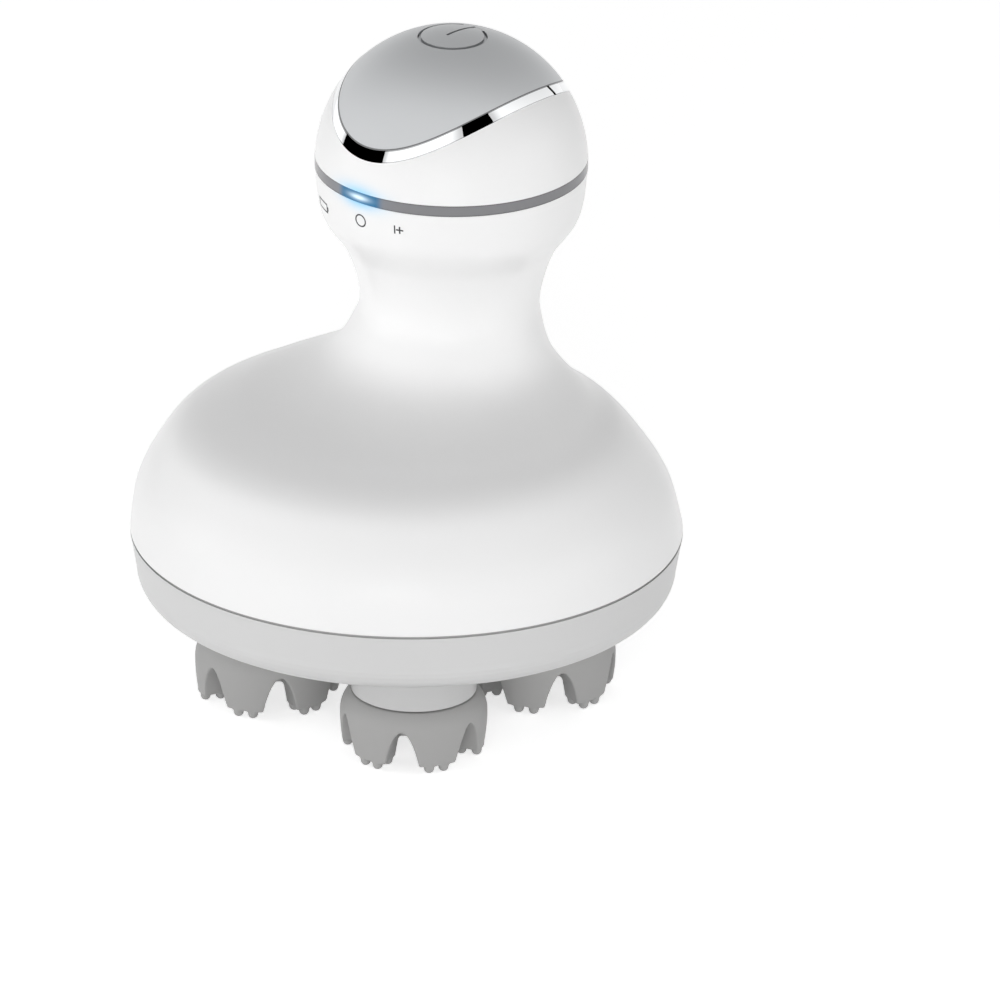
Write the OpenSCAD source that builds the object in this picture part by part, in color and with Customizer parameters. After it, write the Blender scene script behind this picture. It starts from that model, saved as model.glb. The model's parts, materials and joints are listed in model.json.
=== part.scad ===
// Handheld electric scalp massager. A round knob grip leans back over a wide dome. Four soft
// massage heads under the base turn in opposite pairs: one motor in the neck drives them
// through a two-step pinion and a square ring of four equal gears.
// Z = 0 is the plane of the nub tips, +Z is up and -Y is the front. The model is symmetric
// about X = 0 on the outside, apart from the angle at which each head has stopped.

/* [Massage heads] */
// Distance of the heads' axes from the edge of the base
head_inset = 24.95; // [24.5:0.05:25.5]
// Widest radius of a soft head
head_r = 13.2; // [12.6:0.1:13.8]
// Radius of a head's top face
head_top_r = 11.2; // [10.4:0.1:11.6]
// Radius of the outer wall at the foot of the legs
head_foot_r = 12.7; // [12.2:0.1:12.9]
// Height of a soft head above its nubs
head_h = 10; // [9.5:0.1:12]
// Height of a head's widest place above the feet of its legs
head_bulge_h = 6; // [5:0.1:7]
// Radial thickness of a leg at its foot
leg_t = 4.8; // [4.4:0.1:5.2]
// Number of legs on a head
leg_count = 6; // [5:1:7]
// Width of the arch between two legs, at the outer wall
arch_w = 6.4; // [5:0.1:7]
// Height of the arch between two legs
arch_h = 6.8; // [5.5:0.1:7]
// Thickness of the soft roof over a head's hollow
roof_t = 5.2; // [4.6:0.1:5.6]
// Radius of a nub
nub_r = 0.95; // [0.8:0.05:1.1]
// Length of a nub below the foot of its leg
nub_h = 1.5; // [1.2:0.1:2]
// Distance between the nubs of a leg
nub_pitch = 2.75; // [2.4:0.05:2.9]
// Depth of the small flat at a nub's tip
nub_flat = 0.08; // [0.04:0.01:0.12]

/* [Base cover] */
// Radius of the housing at the parting line
base_r = 49.7; // [49:0.1:54]
// Height of the base cover, from its floor to the parting line
cover_h = 12; // [11.6:0.1:14]
// Wall thickness of every moulded shell
wall = 2; // [1.6:0.1:2.2]
// Draft of the base cover's side, as the radius that it loses
cover_draft = 1.15; // [0.6:0.05:1.6]
// Radius that rolls the side into the floor
rim_r = 5.2; // [4:0.1:6]
// Height and depth of the shadow groove along the parting line
groove = 0.35; // [0.2:0.05:0.5]
// Radius of the round boss over each head
boss_r = 11.2; // [10.8:0.1:11.8]
// Height of the bosses below the floor
boss_h = 8.6; // [8:0.1:10]
// Running gap between a boss and the head under it
head_gap = 0.3; // [0.2:0.05:0.5]
// Height of the lip that stands inside the dome
lip_h = 1.4; // [1:0.1:1.5]
// Thickness of that lip
lip_t = 1.5; // [1.2:0.1:1.8]
// Clearance between the lip and the dome
lip_gap = 0.5; // [0.4:0.05:0.7]
// Width of the rubber seal under the dome's rim
seal_w = 1; // [0.8:0.1:1.2]
// Distance of the cover screws from the edge of the base
screw_inset = 11.7; // [11.2:0.1:12.2]
// Thread radius of a cover screw
cover_screw_r = 1.4; // [1.2:0.1:1.5]

/* [Dome, neck and knob] */
// Radius at the narrowest place of the neck
neck_r = 16.3; // [15.5:0.1:18]
// Height of that place over the parting line
neck_h = 43; // [42:0.25:46]
// How far the knob stands behind the base's centre
lean = 11.25; // [10.5:0.05:12]
// Radius of the knob
knob_r = 24.4; // [24:0.1:26]
// Height of the knob's centre over the parting line
knob_h = 67.5; // [67:0.1:70]
// Thickness of the dark ring round the knob
ring_t = 2; // [1.6:0.1:2.4]

/* [Cap, trim and button] */
// Radius of the cap's edge in side view
cap_edge_r = 36.6; // [35:0.1:39]
// Depth of the cap's edge below the top of the knob, where the edge is highest
cap_drop = 7.2; // [6.8:0.1:7.9]
// Width of the bright trim strip at its highest place
trim_w = 1.15; // [0.9:0.05:1.5]
// Extra width of the strip at its lowest place
trim_flare = 0.35; // [0:0.05:0.6]
// Depth of the strip below the knob's surface
trim_recess = 0.2; // [0.1:0.05:0.4]
// Radius of the power button
button_r = 6.15; // [5.6:0.05:6.8]
// Running clearance round the button
button_gap = 0.1; // [0.08:0.01:0.1]
// Travel of the button
button_travel = 0.6; // [0.4:0.05:0.8]
// Width and depth of the engraved line of the power symbol
mark_w = 0.5; // [0.4:0.05:0.7]
// Half angle of the opening in the symbol's ring
mark_open = 22; // [16:1:30]

/* [Gears] */
// Teeth of each head gear
head_teeth = 35; // [35:2:37]
// Teeth of the small step of the reduction gear and of the motor pinion
pinion_teeth = 10; // [10:1:10]
// Teeth of the large step of the reduction gear
wheel_teeth = 42; // [42:1:43]
// Tooth module of the large step
wheel_module = 0.5; // [0.49:0.005:0.51]
// Pressure angle of all teeth
pressure = 25; // [24.5:0.5:26]
// Play between meshing teeth, as a share of the tooth module
play = 0.16; // [0.12:0.02:0.2]
// Face width of a head gear
gear_w = 5; // [4.5:0.1:5.2]
// Radius of a gear's hub
hub_r = 6; // [5.5:0.1:6.5]
// Radius of a head's steel shaft
shaft_r = 2.5; // [2.2:0.1:2.8]
// Clearance of a shaft in its bush or bearing
run_gap = 0.05; // [0.03:0.01:0.08]
// Radius of the fixed pin that carries the reduction gear
axle_r = 1.5; // [1.2:0.1:1.7]

/* [Motor, battery and electronics] */
// Thickness of the gear frame's plate
plate_t = 2; // [1.8:0.1:2.4]
// Radius of the motor
motor_r = 12; // [11:0.1:12.2]
// Length of the motor
motor_h = 26; // [24:0.25:26.5]
// Radius of the motor's shaft
motor_shaft_r = 1; // [0.9:0.05:1.1]
// Radius of the battery cell
cell_r = 9.15; // [8.5:0.05:9.4]
// Gap between the battery cell and the control board
cell_gap = 2.5; // [2:0.1:4]
// Wall of the battery cradle
cradle_t = 1.5; // [1.2:0.1:1.7]
// Thickness of the control board
board_t = 1.2; // [1:0.1:1.6]

/* [Hidden] */

$fn = 72;
heads = 4;
eps = 0.01;             // overlap that keeps joined solids from meeting edge to edge
free_gap = 0.3;         // gap between parts that face each other without touching
slip = 0.2;             // clearance of a piece that is put in by hand

function numbered(name) = [for (i = [1:4]) str(name, "_", i)];

// Heights of the base
foot_z = nub_h;
head_top_z = foot_z + head_h;
boss_z = head_top_z + head_gap;
floor_z = boss_z + boss_h;
floor_top = floor_z + wall;
parting_z = floor_z + cover_h;

// Stack of bush, gear and gear frame over the floor
collar_top = floor_top + 1;
flange_t = 0.7;         // flange of a bush
play_z = 0.2;           // end play of a gear
gear_z = collar_top + flange_t + play_z;
gear_rise = 0.2;        // step from a hub's end to its teeth
gear_top = gear_z + gear_rise + gear_w;
gear_hub_h = 1.5;       // hub above the teeth
wheel_z = gear_top + 0.5;
wheel_t = 3.2;
web_t = 1.4;
plate_z = wheel_z + wheel_t + 0.8;
plate_top = plate_z + plate_t;

// Shafts and their seats
ring_radius = base_r - head_inset;
head_pitch = ring_radius * sqrt(2);
head_axis = head_pitch / 2;
head_turn = [32, 57, 30, 52];       // angle at which each head has stopped
bush_r = shaft_r + 1.5;
collar_r = shaft_r + 4;
seal_r = shaft_r + 2.5;
seal_h = 3;
seal_recess = 0.4;
hub_key_r = 6.4;        // lobes that key the rigid hub into the soft head
hub_core_r = 5;
hub_z = head_top_z - 3.7;
shaft_flat = 0.8 * shaft_r;

// Gear train
head_module = head_pitch / head_teeth;
step_distance = head_module * (head_teeth + pinion_teeth) / 2;
axle_xy = (ring_radius - step_distance) / sqrt(2) * [1, -1];
motor_distance = wheel_module * (wheel_teeth + pinion_teeth) / 2;
motor_y = axle_xy[1] + sqrt(pow(motor_distance, 2) - pow(axle_xy[0], 2));
addendum = 0.9;         // as a share of the module
dedendum = 1.15;
flank_steps = 3;

// Housing
housing_sides = 60;
curve_steps = 3;
rim_inner = base_r - wall;
lip_r = rim_inner - lip_gap;
seal_t = seal_w;
ledge_t = 1.6;          // ledge inside the dome that carries the gear frame
ledge_r = rim_inner - 5.2;
knob_z = parting_z + knob_h;
ring_z = knob_z - ring_t / 2;
knob_in_r = knob_r - wall;
knob_lip_r = knob_in_r - 0.4;
knob_lip_t = 1.2;
knob_lip_down = 2.5;    // reach of the dark ring's inner tube below and above the knob's centre
knob_lip_up = 3;
cap_edge_h = knob_r - cap_drop;
edge_y = 0.4;           // middle of the cap's edge behind the knob's axis
trim_edge_h = cap_edge_h - trim_w;
trim_edge_r = edge_radius(trim_edge_h, low_edge(cap_edge_h, cap_edge_r) - trim_w - trim_flare);
trim_flange_t = 1.1;
trim_seat = 0.04;       // clearance of the strip's hidden flange under the shells
trim_flange_w = 1.5;

// Electronics
board_z = knob_z + knob_lip_up;
board_r = knob_in_r - 0.7;
board_top = board_z + board_t;
cradle_top = knob_z - knob_lip_down;
terminal_h = 1.8;       // motor terminals under the battery cradle
cradle_foot = 1.4;
cell_z = plate_top + motor_h + terminal_h + cradle_foot + slip;
cell_h = board_z - cell_gap - cell_z;
cell_cap_r = 3.6;
cell_cap_h = 1.5;
cradle_disc_t = 1.6;    // disc that seats under the dark ring's tube
cradle_fin_t = 1.6;
cradle_fin_h = 8;
cradle_fin_z = 8;
cradle_slot_w = 8;      // window for the cell's wires
cradle_slot_from = 3;
cradle_slot_to = 9;
chips = [[7, -6, 8, 8, 1.2], [-14, -5, 6, 10, 2], [-3, 8, 6, 5, 1.6]];    // place and size on the board
led_w = 3.4;
led_t = 1.8;
led_h = 4.2;
switch_w = 6;
switch_h = 3.5;
plunger_r = 1.7;
stem_r = 2.2;
stem_z = knob_z + 13.6;
button_flange = 1;      // how far the button's hidden flange reaches past its rim
button_flange_t = 1.2;

// Screws
cover_screw_ring = base_r - screw_inset;
cover_screw_l = 12;
cover_head_r = cover_screw_r + 1.2;
cover_head_t = 1.8;
well_z = plate_z - 4;
post_r = cover_head_r + 2;
frame_screw_ring = ledge_r + 1.1;
frame_screw_r = 1;
frame_screw_count = 6;
frame_screw_first = 15;
frame_head_r = 1.8;
small_head_t = 1.2;
motor_screw_x = 8.5;
contact_xy = [6, 6];
contact_r = 1.5;
contact_lip = 0.7;
contact_lip_t = 0.6;

// Motor
motor_round = 1;        // rounding of the can's edges
motor_nose_r = 3;
motor_cap_r = 3.5;
motor_cap_h = 1.2;
motor_shaft_l = 14;
motor_bore_l = 13.5;
motor_tab_x = 7.5;      // the two soldering tabs
motor_tab_t = 0.6;
motor_tab_w = 2.4;
motor_collar_t = 1.6;   // collar on the gear frame that centres the motor
motor_collar_h = 5;
gear_hole_r = 2;        // lightening holes in the web of a head gear
gear_hole_count = 6;
rim_teeth = 3.5;        // rim of a head gear, in modules inside its pitch circle

// ---------------------------------------------------------------- helpers

function arc(centre, r, from, to, steps) =
    [for (k = [0:steps]) let (a = from + (to - from) * k / steps) centre + r * [cos(a), sin(a)]];

// Radius of the circle through the ends of an arc that bulges by sag over a half chord
function sag_radius(sag, half) = (sag * sag + half * half) / (2 * sag);

// Lowest place of a round edge on the knob's front, from its highest place and its radius
function low_edge(h, r) =
    let (d = norm([edge_y, h - r]), a = acos((knob_r * knob_r + d * d - r * r) / (2 * knob_r * d)))
    knob_r * sin(atan2(h - r, edge_y) - a);

// Radius of a round edge, from its highest and lowest places
function edge_radius(h, low) = sag_radius(h - low, edge_y + sqrt(knob_r * knob_r - low * low));

// Smooth curve through the points p
function blend(a, b, c, d, t) =
    (2 * b + (c - a) * t + (2 * a - 5 * b + 4 * c - d) * t * t + (3 * b - a - 3 * c + d) * t * t * t) / 2;
function smooth_curve(p, steps) = concat(
    [for (i = [0:len(p) - 2], k = [0:steps - 1])
        blend(p[max(i - 1, 0)], p[i], p[i + 1], p[min(i + 2, len(p) - 1)], k / steps)],
    [p[len(p) - 1]]);

module at_head(i) {
    turn = -45 + 90 * i;
    translate([ring_radius * cos(turn), ring_radius * sin(turn), 0]) children();
}

module at_knob() translate([0, lean, knob_z]) children();

module ring_of(count, r, first = 0) {
    for (k = [0:count - 1]) rotate(first + 360 * k / count) translate([r, 0, 0]) children();
}

module tube(outer, inner, h) {
    difference() {
        cylinder(r = outer, h = h);
        translate([0, 0, -1]) cylinder(r = inner, h = h + 2);
    }
}

// ---------------------------------------------------------------- gears

function involute(a) = tan(a) - a * PI / 180;

// Half of a tooth's angle at radius r
function half_tooth(r, teeth, module_size) =
    let (pitch_r = module_size * teeth / 2, base = pitch_r * cos(pressure))
    (PI / 2 - play / 2) * module_size / (2 * pitch_r) * 180 / PI
    + (involute(pressure) - involute(acos(min(1, base / r)))) * 180 / PI;

function gear_outline(teeth, module_size) =
    let (pitch_r = module_size * teeth / 2,
         root = pitch_r - dedendum * module_size,
         tip = pitch_r + addendum * module_size,
         start = max(root, pitch_r * cos(pressure)),
         radii = [for (k = [0:flank_steps]) start + (tip - start) * k / flank_steps])
    [for (i = [0:teeth - 1]) let (mid = 360 * i / teeth) each concat(
        [polar(root, mid - half_tooth(start, teeth, module_size) - eps)],
        [for (k = [0:flank_steps]) polar(radii[k], mid - half_tooth(radii[k], teeth, module_size))],
        [for (k = [flank_steps:-1:0]) polar(radii[k], mid + half_tooth(radii[k], teeth, module_size))],
        [polar(root, mid + half_tooth(start, teeth, module_size) + eps)])];

function polar(r, a) = r * [cos(a), sin(a)];

// Phase of the next gear, which lies in direction dir from a gear with the given phase
function mesh_phase(phase, teeth, next_teeth, dir) =
    dir + 180 + 360 / next_teeth * (0.5 - (phase - dir) * teeth / 360);

module gear(teeth, module_size, w, bore, phase) {
    rotate(phase) linear_extrude(w) difference() {
        polygon(gear_outline(teeth, module_size));
        circle(r = bore);
    }
}

head_phase_2 = mesh_phase(0, head_teeth, head_teeth, 90);
head_phase_3 = mesh_phase(head_phase_2, head_teeth, head_teeth, 180);
head_phase_4 = mesh_phase(head_phase_3, head_teeth, head_teeth, 270);
head_phase = [0, head_phase_2, head_phase_3, head_phase_4];
step_phase = mesh_phase(0, head_teeth, pinion_teeth, 135);
motor_dir = atan2(motor_y - axle_xy[1], -axle_xy[0]);
motor_phase = mesh_phase(0, wheel_teeth, pinion_teeth, motor_dir);

// ---------------------------------------------------------------- base

// Half section of the base cover, with the seal's groove and the lip in its rim
function cover_section() =
    let (side = base_r - cover_draft, roll = [side - rim_r, floor_z + rim_r], low = 3)
    concat(
        [[0, floor_z]],
        arc(roll, rim_r, -90, 0, 8),
        [[base_r - cover_draft * groove / (cover_h - rim_r), parting_z - groove],
         [base_r - groove, parting_z - groove],
         [base_r - groove, parting_z],
         [lip_r + seal_w, parting_z],
         [lip_r + seal_w, parting_z - seal_t],
         [lip_r, parting_z - seal_t],
         [lip_r, parting_z + lip_h],
         [lip_r - lip_t, parting_z + lip_h],
         [lip_r - lip_t, parting_z - low]],
        arc(roll, rim_r - wall, 0, -90, 8),
        [[0, floor_top]]);

module base_cover() {
    color([0.80, 0.80, 0.80]) difference() {
        union() {
            rotate_extrude() polygon(cover_section());
            for (i = [0:heads - 1]) at_head(i) {
                translate([0, 0, boss_z]) cylinder(r = boss_r, h = floor_z + eps - boss_z);
                translate([0, 0, floor_z]) cylinder(r = collar_r, h = collar_top - floor_z);
            }
            ring_of(4, cover_screw_ring) translate([0, 0, floor_z + eps])
                cylinder(r = post_r, h = plate_z - floor_z - eps);
            translate([axle_xy[0], axle_xy[1], floor_z + eps])
                cylinder(r = axle_r + 1.7, h = collar_top - floor_z - eps);
        }
        for (i = [0:heads - 1]) at_head(i) head_boss_cuts();
        ring_of(4, cover_screw_ring) {
            translate([0, 0, floor_z - 1]) cylinder(r = cover_head_r + slip, h = well_z - floor_z + 1);
            translate([0, 0, floor_z]) cylinder(r = cover_screw_r + slip, h = cover_h * 2);
        }
        translate([axle_xy[0], axle_xy[1], floor_z + wall / 2]) cylinder(r = axle_r, h = cover_h);
        for (side = [-1, 1]) translate([side * contact_xy[0], contact_xy[1], floor_z - 1])
            cylinder(r = contact_r, h = wall + 2);
    }
}

// Seal pocket, bush seat and the ring-shaped core that keeps a boss's walls thin
module head_boss_cuts() {
    translate([0, 0, boss_z - 1]) cylinder(r = seal_r, h = seal_recess + seal_h + 1);
    translate([0, 0, boss_z]) cylinder(r = bush_r, h = collar_top - boss_z + 1);
    translate([0, 0, boss_z + wall]) difference() {
        cylinder(r = boss_r - wall, h = floor_top + 1 - boss_z - wall);
        translate([0, 0, -1]) cylinder(r = collar_r, h = floor_top + 3 - boss_z);
    }
}

module base_seal() {
    color([0.15, 0.15, 0.16]) translate([0, 0, parting_z - seal_t]) tube(lip_r + seal_w, lip_r, seal_t);
}

module shaft_bush(i) {
    color([0.72, 0.52, 0.30]) at_head(i) difference() {
        union() {
            translate([0, 0, boss_z + seal_recess + seal_h])
                cylinder(r = bush_r, h = collar_top - boss_z - seal_recess - seal_h + eps);
            translate([0, 0, collar_top]) cylinder(r = bush_r + 1.2, h = flange_t);
        }
        translate([0, 0, boss_z]) cylinder(r = shaft_r + run_gap, h = gear_z - boss_z);
    }
}

module shaft_seal(i) {
    color([0.12, 0.12, 0.13]) at_head(i) translate([0, 0, boss_z + seal_recess]) difference() {
        cylinder(r = seal_r, h = seal_h);
        translate([0, 0, -1]) cylinder(r = shaft_r + run_gap, h = seal_h + 2);
        translate([0, 0, -1]) tube(seal_r - 0.8, shaft_r + 0.7, 2.2);
    }
}

module charging_contacts() {
    color([0.83, 0.66, 0.36]) for (side = [-1, 1])
        translate([side * contact_xy[0], contact_xy[1], floor_z + free_gap]) {
            cylinder(r = contact_r, h = wall - free_gap + eps);
            translate([0, 0, wall - free_gap]) cylinder(r = contact_r + contact_lip, h = contact_lip_t);
        }
}

// ---------------------------------------------------------------- soft heads

// Outer wall of a soft head: a flat arc up to its widest place and a rounder one above
function head_side() =
    let (bulge_z = foot_z + head_bulge_h,
         low_r = sag_radius(head_r - head_foot_r, head_bulge_h),
         high_r = sag_radius(head_r - head_top_r, head_h - head_bulge_h))
    concat(
        arc([head_r - low_r, bulge_z], low_r, -asin(head_bulge_h / low_r), 0, 5),
        arc([head_r - high_r, bulge_z], high_r, 0, asin((head_h - head_bulge_h) / high_r), 6));

// Hollow under the roof, with a domed ceiling
function head_hollow() =
    let (r = head_foot_r - leg_t, top = head_top_z - roof_t, rise = 1.4, dome = sag_radius(rise, r))
    concat([[0, foot_z - 1], [r, foot_z - 1]],
        [for (k = [0:6]) let (x = r * (1 - k / 6)) [x, top - dome + sqrt(dome * dome - x * x)]]);

// Arch outline with the foot at y = 0: its width grows with the root of the depth
function arch_outline(w) = concat(
    [for (k = [-8:8]) [w / 2 * k / 8, arch_h * (1 - pow(k / 8, 2))]],
    [[w / 2, -1], [-w / 2, -1]]);

module arch_cut() {
    near = head_foot_r - leg_t - 0.3;
    far = head_r + 1;
    near_w = arch_w * near / head_foot_r;
    translate([near, 0, foot_z]) rotate([90, 0, 90])
        linear_extrude(far - near, scale = [far / near, 1], slices = 1, $fn = 4)
            polygon(arch_outline(near_w));
}

module nub() {
    intersection() {
        union() {
            translate([0, 0, nub_r - nub_flat]) sphere(r = nub_r, $fn = 20);
            translate([0, 0, nub_r - nub_flat])
                cylinder(r = nub_r, h = nub_h + 2 * slip - nub_r + nub_flat, $fn = 20);
        }
        cylinder(r = 2 * nub_r, h = nub_h + 1, $fn = 20);
    }
}

module hub_outline() {
    circle(r = hub_core_r);
    for (k = [0:5]) rotate(60 * k) translate([0, -1.3]) square([hub_key_r, 2.6]);
}

module massage_head(i) {
    leg_mid = head_foot_r - leg_t / 2;
    color([0.62, 0.62, 0.63]) at_head(i) rotate(head_turn[i]) difference() {
        union() {
            rotate_extrude() polygon(concat([[0, foot_z]], head_side(), [[0, head_top_z]]));
            ring_of(leg_count, leg_mid)
                for (u = [-1, 1], v = [-1, 1]) translate([u, v, 0] * nub_pitch / 2) nub();
        }
        rotate_extrude() polygon(head_hollow());
        ring_of(leg_count, 0, 180 / leg_count) arch_cut();
        translate([0, 0, hub_z]) linear_extrude(head_h) hub_outline();
    }
}

module head_hub(i) {
    color([0.30, 0.30, 0.32]) at_head(i) rotate(head_turn[i]) translate([0, 0, hub_z])
        linear_extrude(head_top_z - hub_z - slip) difference() {
            hub_outline();
            shaft_key();
        }
}

// Two flats on the shaft's lower end carry the hub round with it
module shaft_key() intersection() {
    circle(r = shaft_r);
    square([3 * shaft_r, 2 * shaft_flat], center = true);
}

module head_shaft(i) {
    key_top = head_top_z - slip;
    color([0.75, 0.76, 0.78]) at_head(i) rotate(head_turn[i]) {
        translate([0, 0, hub_z + slip]) linear_extrude(key_top - hub_z) shaft_key();
        translate([0, 0, key_top]) cylinder(r = shaft_r, h = plate_top - slip - key_top);
    }
}

module head_gear(i) {
    recess = (gear_w - web_t) / 2;
    inner = hub_r + 0.6;
    outer = head_axis - rim_teeth * head_module;
    color([0.93, 0.92, 0.88]) at_head(i) difference() {
        union() {
            translate([0, 0, gear_z + gear_rise])
                gear(head_teeth, head_module, gear_w, shaft_r, head_phase[i]);
            translate([0, 0, gear_z]) cylinder(r = hub_r, h = gear_rise + gear_w + gear_hub_h);
        }
        translate([0, 0, gear_z + gear_rise - 1]) tube(outer, inner, recess + 1);
        translate([0, 0, gear_top - recess]) tube(outer, inner, recess + 1);
        ring_of(gear_hole_count, (outer + inner) / 2)
            translate([0, 0, gear_z]) cylinder(r = gear_hole_r, h = gear_w + 2);
        translate([0, 0, gear_z - 1]) cylinder(r = shaft_r, h = gear_w + 5);
    }
}

// ---------------------------------------------------------------- gear train

module gear_axle() {
    color([0.75, 0.76, 0.78]) translate([axle_xy[0], axle_xy[1], floor_z + wall / 2])
        cylinder(r = axle_r, h = plate_top - slip - floor_z - wall / 2);
}

module reduction_gear() {
    color([0.93, 0.92, 0.88]) translate([axle_xy[0], axle_xy[1], 0]) {
        translate([0, 0, collar_top + play_z])
            gear(pinion_teeth, head_module, wheel_z + web_t / 2 - collar_top - play_z,
                axle_r + run_gap, step_phase);
        difference() {
            translate([0, 0, wheel_z]) gear(wheel_teeth, wheel_module, wheel_t, axle_r + run_gap, 0);
            translate([0, 0, wheel_z + web_t]) tube(wheel_module * wheel_teeth / 2 - 2, axle_r + 2, wheel_t);
        }
    }
}

module motor_pinion() {
    color([0.83, 0.66, 0.36]) translate([0, motor_y, wheel_z + slip])
        gear(pinion_teeth, wheel_module, wheel_t, motor_shaft_r, motor_phase);
}

module motor_shaft() {
    color([0.75, 0.76, 0.78]) translate([0, motor_y, wheel_z])
        cylinder(r = motor_shaft_r, h = motor_shaft_l);
}

module drive_motor() {
    color([0.70, 0.71, 0.73]) translate([0, motor_y, plate_top]) difference() {
        union() {
            rotate_extrude() polygon(concat(
                [[0, 0]],
                arc([motor_r - motor_round, motor_round], motor_round, -90, 0, 4),
                arc([motor_r - motor_round, motor_h - motor_round], motor_round, 0, 90, 4),
                [[0, motor_h]]));
            translate([0, 0, free_gap * 2 - plate_t]) cylinder(r = motor_nose_r, h = plate_t);
            translate([0, 0, motor_h - eps]) cylinder(r = motor_cap_r, h = motor_cap_h);
            for (side = [-1, 1])
                translate([side * motor_tab_x - motor_tab_t / 2, -motor_tab_w / 2, motor_h - eps])
                    cube([motor_tab_t, motor_tab_w, terminal_h + eps]);
        }
        translate([0, 0, -plate_t]) cylinder(r = motor_shaft_r + run_gap, h = motor_bore_l);
        for (side = [-1, 1]) translate([side * motor_screw_x, 0, -1]) cylinder(r = frame_screw_r, h = 4);
    }
}

module gear_frame() {
    boss_bottom = gear_top + gear_hub_h + play_z;
    color([0.86, 0.86, 0.84]) difference() {
        union() {
            translate([0, 0, plate_z]) cylinder(r = rim_inner - 1.4, h = plate_t);
            for (i = [0:heads - 1]) at_head(i)
                translate([0, 0, boss_bottom]) cylinder(r = collar_r - 1, h = plate_top - boss_bottom);
            ring_of(4, cover_screw_ring)
                translate([0, 0, plate_z]) cylinder(r = cover_screw_r + 1.8, h = cover_screw_l - 3);
            translate([0, motor_y, plate_z + eps])
                tube(motor_r + slip + motor_collar_t, motor_r + slip, plate_t + motor_collar_h);
        }
        for (i = [0:heads - 1]) at_head(i)
            translate([0, 0, boss_bottom - 1]) cylinder(r = shaft_r + run_gap, h = plate_top);
        ring_of(4, cover_screw_ring)
            translate([0, 0, plate_z - 1]) cylinder(r = cover_screw_r, h = cover_screw_l - 3);
        ring_of(frame_screw_count, frame_screw_ring, frame_screw_first)
            translate([0, 0, plate_z - 1]) cylinder(r = frame_screw_r + slip, h = plate_t + 2);
        translate([axle_xy[0], axle_xy[1], plate_z - 1]) cylinder(r = axle_r, h = plate_t + 2);
        translate([0, motor_y, plate_z - 1]) cylinder(r = motor_nose_r, h = plate_t + 2);
        for (side = [-1, 1]) translate([side * motor_screw_x, motor_y, plate_z - 1])
            cylinder(r = frame_screw_r + slip, h = plate_t + 2);
    }
}

// ---------------------------------------------------------------- screws

module pan_screw(r, l, head, head_t) {
    difference() {
        union() {
            translate([0, 0, -head_t]) cylinder(r1 = head * 0.85, r2 = head, h = head_t);
            translate([0, 0, -eps]) cylinder(r = r, h = l + eps);
        }
        for (a = [0, 90]) rotate(a) translate([-head * 0.55, -head * 0.12, -head_t - 1])
            cube([head * 1.1, head * 0.24, 1 + head_t * 0.5]);
    }
}

module cover_screws() {
    color([0.55, 0.56, 0.58]) ring_of(4, cover_screw_ring) translate([0, 0, well_z])
        pan_screw(cover_screw_r, cover_screw_l - 1.4, cover_head_r, cover_head_t);
}

module frame_screws() {
    color([0.55, 0.56, 0.58]) ring_of(frame_screw_count, frame_screw_ring, frame_screw_first)
        translate([0, 0, plate_z]) pan_screw(frame_screw_r, plate_t + ledge_t, frame_head_r, small_head_t);
}

module motor_screws() {
    color([0.55, 0.56, 0.58]) for (side = [-1, 1]) translate([side * motor_screw_x, motor_y, plate_z])
        pan_screw(frame_screw_r, plate_t + 2.6, frame_head_r, small_head_t);
}

// ---------------------------------------------------------------- dome, neck and lower knob

// Stations up the housing: share of the height, share of the radius and share of the lean.
// The first list runs from the parting line to the neck, the second from there to the knob.
dome_shape = [[0, 1, 0], [0.19, 0.95, -0.07], [0.36, 0.83, -0.13], [0.48, 0.7, -0.14], [0.57, 0.495, 0.03],
    [0.71, 0.145, 0.72], [0.87, 0.02, 0.94], [1, 0, 1]];
knob_shape = [[0.35, 0.31, 1], [0.64, 0.85, 1], [1, 1, 1]];
top_h = knob_h - ring_t / 2;
stations = concat(
    [for (s = dome_shape) [parting_z + s[0] * neck_h, neck_r + s[1] * (base_r - neck_r), s[2] * lean]],
    [for (s = knob_shape) [parting_z + neck_h + s[0] * (top_h - neck_h),
        neck_r + s[1] * (knob_r - neck_r), s[2] * lean]]);
skin = smooth_curve(stations, curve_steps);

// The same curve, one wall thickness inside
lining = [for (k = [0:len(skin) - 1])
    let (a = skin[max(k - 1, 0)], b = skin[min(k + 1, len(skin) - 1)], along = [b[0] - a[0], b[1] - a[1]],
         n = along / norm(along))
    [skin[k][0] + wall * n[1], skin[k][1] - wall * n[0], skin[k][2]]];
function lining_r(z) = lookup(z, [for (p = lining) [p[0], p[1]]]);
function lining_y(z) = lookup(z, [for (p = lining) [p[0], p[2]]]);
function lining_at(z) = [z, lining_r(z), lining_y(z)];

ledge_top = plate_top + ledge_t;
inside = concat(
    [[parting_z, rim_inner, 0], lining_at(plate_top)],
    [[plate_top, ledge_r, 0], [ledge_top, ledge_r, 0]],
    [lining_at(ledge_top)],
    [for (p = lining) if (p[0] > ledge_top + 1 && p[0] < ring_z - 1) p],
    [[ring_z, knob_in_r, lean]]);

function hoop(s) = [for (k = [0:housing_sides - 1])
    let (a = 360 * k / housing_sides) [s[1] * cos(a), s[2] + s[1] * sin(a), s[0]]];

module main_housing() {
    hoops = concat(skin, [for (k = [len(inside) - 1:-1:0]) inside[k]]);
    count = len(hoops);
    n = housing_sides;
    color([0.96, 0.96, 0.96]) polyhedron(
        points = [for (s = hoops) each hoop(s)],
        faces = [for (j = [0:count - 1], k = [0:n - 1])
            let (up = (j + 1) % count, right = (k + 1) % n)
            [j * n + k, up * n + k, up * n + right, j * n + right]],
        convexity = 8);
}

// ---------------------------------------------------------------- knob

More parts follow.
